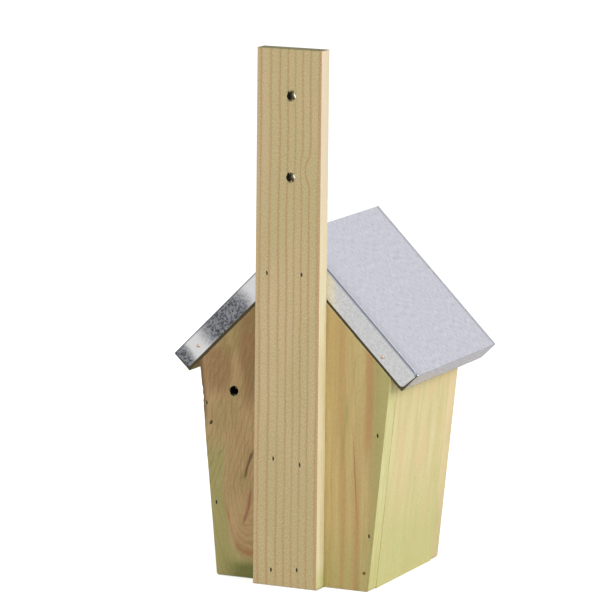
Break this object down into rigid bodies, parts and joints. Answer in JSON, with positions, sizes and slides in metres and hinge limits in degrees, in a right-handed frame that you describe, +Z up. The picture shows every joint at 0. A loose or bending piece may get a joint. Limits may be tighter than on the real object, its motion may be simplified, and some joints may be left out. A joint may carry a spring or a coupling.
{
  "type": "wooden nest box",
  "caption": "Small wooden nest box with a round entrance, a pitched roof of boards under folded zinc sheet, and a drilled batten at the back for hanging it.",
  "frame": {"origin": "middle of the footprint, level with the bottom edges that it stands on", "axes": "+Z up along the batten, +Y towards the batten's back face, -Y towards the entrance, +X to the right of someone facing the entrance"},
  "size_m": [0.198, 0.164, 0.4],
  "materials": {
    "batten_wood": "matte",
    "back_wood": "matte",
    "front_wood": "matte",
    "side_wood": "matte",
    "floor_wood": "matte",
    "roof_wood": "matte",
    "zinc_sheet": "matte",
    "nail_steel": "satin",
    "rusty_steel": "matte",
    "coppered_steel": "satin"
  },
  "bodies": {
    "root": {"batten": "batten_wood", "back_panel": "back_wood", "front_panel": "front_wood", "left_side": "side_wood", "right_side": "side_wood", "floor_board": "floor_wood", "roof_board_left": "roof_wood", "roof_board_right": "roof_wood", "zinc_roof": "zinc_sheet", "batten_nail_upper_left": "nail_steel", "batten_nail_upper_right": "nail_steel", "batten_nail_middle_left": "nail_steel", "batten_nail_middle_right": "nail_steel", "batten_nail_lower_left": "nail_steel", "batten_nail_lower_right": "nail_steel", "back_nail_left_upper": "nail_steel", "back_nail_left_lower": "nail_steel", "back_nail_right_upper": "nail_steel", "back_nail_right_lower": "nail_steel", "front_nail_left_upper": "nail_steel", "front_nail_left_lower": "nail_steel", "front_nail_right_upper": "nail_steel", "front_nail_right_lower": "nail_steel", "front_nail_floor_left": "nail_steel", "front_nail_floor_right": "nail_steel", "back_nail_left_foot": "rusty_steel", "brad_back_left": "coppered_steel", "brad_front_left": "coppered_steel", "brad_back_right": "coppered_steel", "brad_front_right": "coppered_steel"}
  },
  "joints": []
}
